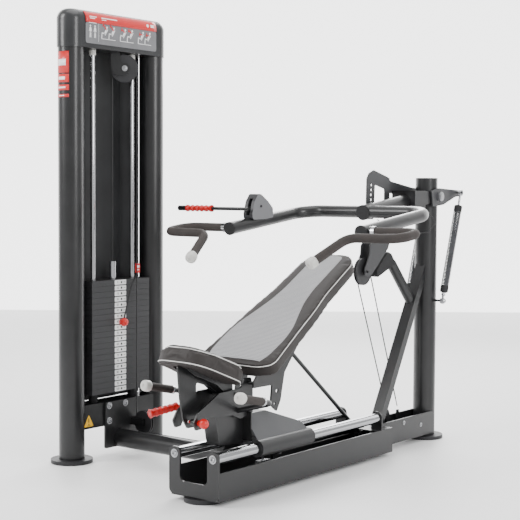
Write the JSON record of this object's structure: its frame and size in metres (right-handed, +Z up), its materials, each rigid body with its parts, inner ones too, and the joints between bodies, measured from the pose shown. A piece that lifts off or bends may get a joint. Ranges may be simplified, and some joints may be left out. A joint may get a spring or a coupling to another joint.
{
  "type": "chest press machine",
  "caption": "Selectorized seated press: a swinging press arm on a rear column, a sliding reclining bench on rails, and a cable-linked weight stack tower.",
  "frame": {"origin": "on the floor, on the axis of the rear column, at the underside of its round foot", "axes": "+Z up, +X from the front end plate towards the rear column, +Y towards the weight tower"},
  "size_m": [2.2338, 1.7519, 2.147],
  "materials": {
    "frame_black": "satin black powder coat",
    "foot_black": "moulded black levelling foot",
    "plate_grey": "dark grey metallic powder coat",
    "rubber": "moulded rubber",
    "chrome": "hard chrome",
    "header_black": "satin moulded housing",
    "cover_dark": "folded painted sheet",
    "stack_black": "black coated steel plates",
    "cable_black": "nylon coated steel cable",
    "pulley_black": "glass filled nylon",
    "steel": "zinc plated steel",
    "foam_brown": "closed cell foam grip",
    "knob_white": "moulded end cap",
    "grip_red": "ribbed red grip",
    "seat_fabric": "grey mesh centre with black borders",
    "spring_steel": "coated spring wire"
  },
  "bodies": {
    "frame": {"round_feet": "foot_black", "rear_column": "frame_black", "main_channel": "frame_black", "front_end_plate": "plate_grey", "rear_beam": "frame_black", "diagonal_strut": "frame_black", "stop_bumper": "rubber", "slide_rails": "chrome", "cross_tube": "frame_black", "tower_posts": "frame_black", "tower_crossbar": "frame_black", "tower_header": "header_black", "rear_cover": "cover_dark", "guide_rods": "chrome", "resting_plates": "stack_black", "stack_buffers": "rubber", "tower_cable": "cable_black", "top_pulley_bracket": "frame_black", "frame_bolts": "steel"},
    "lifted_stack": {"lifted_plates": "stack_black", "stack_stem": "chrome", "riser_cable": "cable_black"},
    "selector": {"selector_pin": "grip_red"},
    "front_strand": {"front_strand_core": "cable_black"},
    "front_strand_top": {"front_strand_sleeve": "cable_black"},
    "rear_strand": {"rear_strand_core": "cable_black"},
    "rear_strand_top": {"rear_strand_sleeve": "cable_black"},
    "top_wheel": {"top_pulley": "pulley_black"},
    "lower_wheel": {"lower_pulley": "pulley_black"},
    "corner_wheel": {"corner_pulley": "pulley_black"},
    "beam_wheel": {"beam_pulley": "pulley_black"},
    "arm_wheel": {"arm_pulley": "pulley_black"},
    "lift_lever": {"pivot_shaft": "steel", "lever_plate": "plate_grey", "sector_plate": "plate_grey", "pulley_hanger": "plate_grey"},
    "press_arm": {"arm_tube": "frame_black", "arm_fork": "frame_black", "press_grips": "foam_brown", "grip_knobs": "knob_white", "tube_caps": "rubber", "lever_housing": "plate_grey", "release_cable": "cable_black"},
    "start_pin": {"lock_pin": "steel"},
    "release": {"release_lever": "frame_black", "release_grip": "grip_red"},
    "spring_lower": {"spring_coils": "spring_steel"},
    "spring_upper": {"spring_tops": "steel"},
    "bench": {"carriage": "plate_grey", "bench_frame": "frame_black", "low_grips": "foam_brown", "low_knobs": "knob_white"},
    "brake_shoe": {"lock_shoe": "steel"},
    "brake_lever": {"slide_lever": "grip_red"},
    "pull_pin": {"seat_pull_pin": "grip_red"},
    "backrest": {"backrest_pad": "seat_fabric", "backrest_frame": "plate_grey"},
    "prop": {"prop_rod": "frame_black"},
    "seat": {"seat_pad": "seat_fabric", "seat_frame": "plate_grey"}
  },
  "joints": [
    {"name": "press_swing", "type": "hinge", "parent": "frame", "child": "lift_lever", "pos_m": [0, 0, 1.274], "axis": [0, 1, 0], "range_deg": [0, 30]},
    {"name": "start_position", "type": "hinge", "parent": "lift_lever", "child": "press_arm", "pos_m": [0, 0, 1.274], "axis": [0, 1, 0], "range_deg": [0, 12]},
    {"name": "release_squeeze", "type": "hinge", "parent": "press_arm", "child": "release", "pos_m": [-0.975, 0.37, 1.225], "axis": [0, 1, 0], "range_deg": [-12, 0], "stiffness_Nm_per_rad": 6, "springref_deg": 17.19},
    {"name": "start_pin_pull", "type": "slide", "parent": "press_arm", "child": "start_pin", "axis": [0, 1, 0], "range_m": [0, 0.0125]},
    {"name": "stack_lift", "type": "slide", "parent": "frame", "child": "lifted_stack", "axis": [0, 0, 1], "range_m": [0, 0.6793], "deforming": ["riser_cable"]},
    {"name": "selector_pull", "type": "slide", "parent": "lifted_stack", "child": "selector", "axis": [0, -1, 0], "range_m": [0, 0.09]},
    {"name": "top_pulley_spin", "type": "hinge", "parent": "frame", "child": "top_wheel", "pos_m": [-1.298, 0.939, 1.89], "axis": [0.6901, 0.7237, 0], "range_deg": [0, 655.25]},
    {"name": "lower_pulley_spin", "type": "hinge", "parent": "frame", "child": "lower_wheel", "pos_m": [-1.25501, 0.84801, 0.156], "axis": [1, 0, 0], "range_deg": [-778.43, 0]},
    {"name": "corner_pulley_spin", "type": "hinge", "parent": "frame", "child": "corner_wheel", "pos_m": [-1.22001, 0.077, 0.106], "axis": [0, 0, 1], "range_deg": [0, 1112.05]},
    {"name": "beam_pulley_spin", "type": "hinge", "parent": "frame", "child": "beam_wheel", "pos_m": [-0.3319, 0.042, 0.146], "axis": [0, 1, 0], "range_deg": [-973.04, 0]},
    {"name": "arm_pulley_spin", "type": "hinge", "parent": "lift_lever", "child": "arm_wheel", "pos_m": [-0.538, 0.042, 0.902], "axis": [0, 1, 0], "range_deg": [0, 293.48]},
    {"name": "front_strand_tilt", "type": "hinge", "parent": "frame", "child": "front_strand", "pos_m": [-0.3319, 0.042, 0.146], "axis": [0, 1, 0], "range_deg": [0, 0.894]},
    {"name": "front_strand_pay_out", "type": "slide", "parent": "front_strand", "child": "front_strand_top", "axis": [-0.384, 0, 0.9233], "range_m": [0, 0.3405], "deforming": ["front_strand_sleeve"]},
    {"name": "rear_strand_tilt", "type": "hinge", "parent": "frame", "child": "rear_strand", "pos_m": [-0.2, 0.042, 0.185], "axis": [0, 1, 0], "range_deg": [0, 0.375]},
    {"name": "rear_strand_pay_out", "type": "slide", "parent": "rear_strand", "child": "rear_strand_top", "axis": [-0.3567, 0, 0.9342], "range_m": [0, 0.3388], "deforming": ["rear_strand_sleeve"]},
    {"name": "spring_tilt", "type": "hinge", "parent": "frame", "child": "spring_lower", "pos_m": [0, 0, 0.73], "axis": [0, 1, 0], "range_deg": [0, 1.76]},
    {"name": "spring_stretch", "type": "slide", "parent": "spring_lower", "child": "spring_upper", "axis": [0.3036, 0, 0.9528], "range_m": [-0.0925, 0], "deforming": ["spring_coils"]},
    {"name": "bench_slide", "type": "slide", "parent": "frame", "child": "bench", "axis": [1, 0, 0], "range_m": [0, 0.234]},
    {"name": "brake_lever_lift", "type": "hinge", "parent": "bench", "child": "brake_lever", "pos_m": [-1.69, 0.072, 0.388], "axis": [0, 1, 0], "range_deg": [0, 12], "stiffness_Nm_per_rad": 1, "springref_deg": -17.19},
    {"name": "brake_shoe_lift", "type": "slide", "parent": "bench", "child": "brake_shoe", "axis": [0, 0, 1], "range_m": [0, 0.0065]},
    {"name": "seat_pin_pull", "type": "slide", "parent": "bench", "child": "pull_pin", "axis": [0, -1, 0], "range_m": [0, 0.012], "stiffness_N_per_m": 400, "springref_m": -0.01},
    {"name": "seat_tilt", "type": "hinge", "parent": "bench", "child": "seat", "pos_m": [-1.66, 0, 0.44], "axis": [0, 1, 0], "range_deg": [-18, 0]},
    {"name": "backrest_recline", "type": "hinge", "parent": "bench", "child": "backrest", "pos_m": [-1.57, 0, 0.478], "axis": [0, 1, 0], "range_deg": [-30.05, 0]},
    {"name": "prop_swing", "type": "hinge", "parent": "frame", "child": "prop", "pos_m": [-0.615, 0, 0.115], "axis": [0, 1, 0], "range_deg": [0, 11.25]}
  ],
  "couplings": [
    {"joint": "stack_lift", "follows": "press_swing", "m_per_rad": 1.2948},
    {"joint": "top_pulley_spin", "follows": "press_swing", "ratio": 21.798},
    {"joint": "lower_pulley_spin", "follows": "press_swing", "ratio": -25.896},
    {"joint": "corner_pulley_spin", "follows": "press_swing", "ratio": 36.994},
    {"joint": "beam_pulley_spin", "follows": "press_swing", "ratio": -32.37},
    {"joint": "arm_pulley_spin", "follows": "press_swing", "ratio": 9.7632},
    {"joint": "front_strand_tilt", "follows": "press_swing", "ratio": 0.029506},
    {"joint": "front_strand_pay_out", "follows": "press_swing", "m_per_rad": 0.64901},
    {"joint": "rear_strand_tilt", "follows": "press_swing", "ratio": 0.012364},
    {"joint": "rear_strand_pay_out", "follows": "press_swing", "m_per_rad": 0.64579},
    {"joint": "spring_tilt", "follows": "press_swing", "ratio": 0.057997},
    {"joint": "spring_stretch", "follows": "press_swing", "m_per_rad": -0.17635},
    {"joint": "start_pin_pull", "follows": "release_squeeze", "m_per_rad": -0.057296},
    {"joint": "brake_shoe_lift", "follows": "brake_lever_lift", "m_per_rad": 0.028648},
    {"joint": "backrest_recline", "follows": "bench_slide", "rad_per_m": -2.23},
    {"joint": "prop_swing", "follows": "bench_slide", "rad_per_m": 0.835}
  ]
}
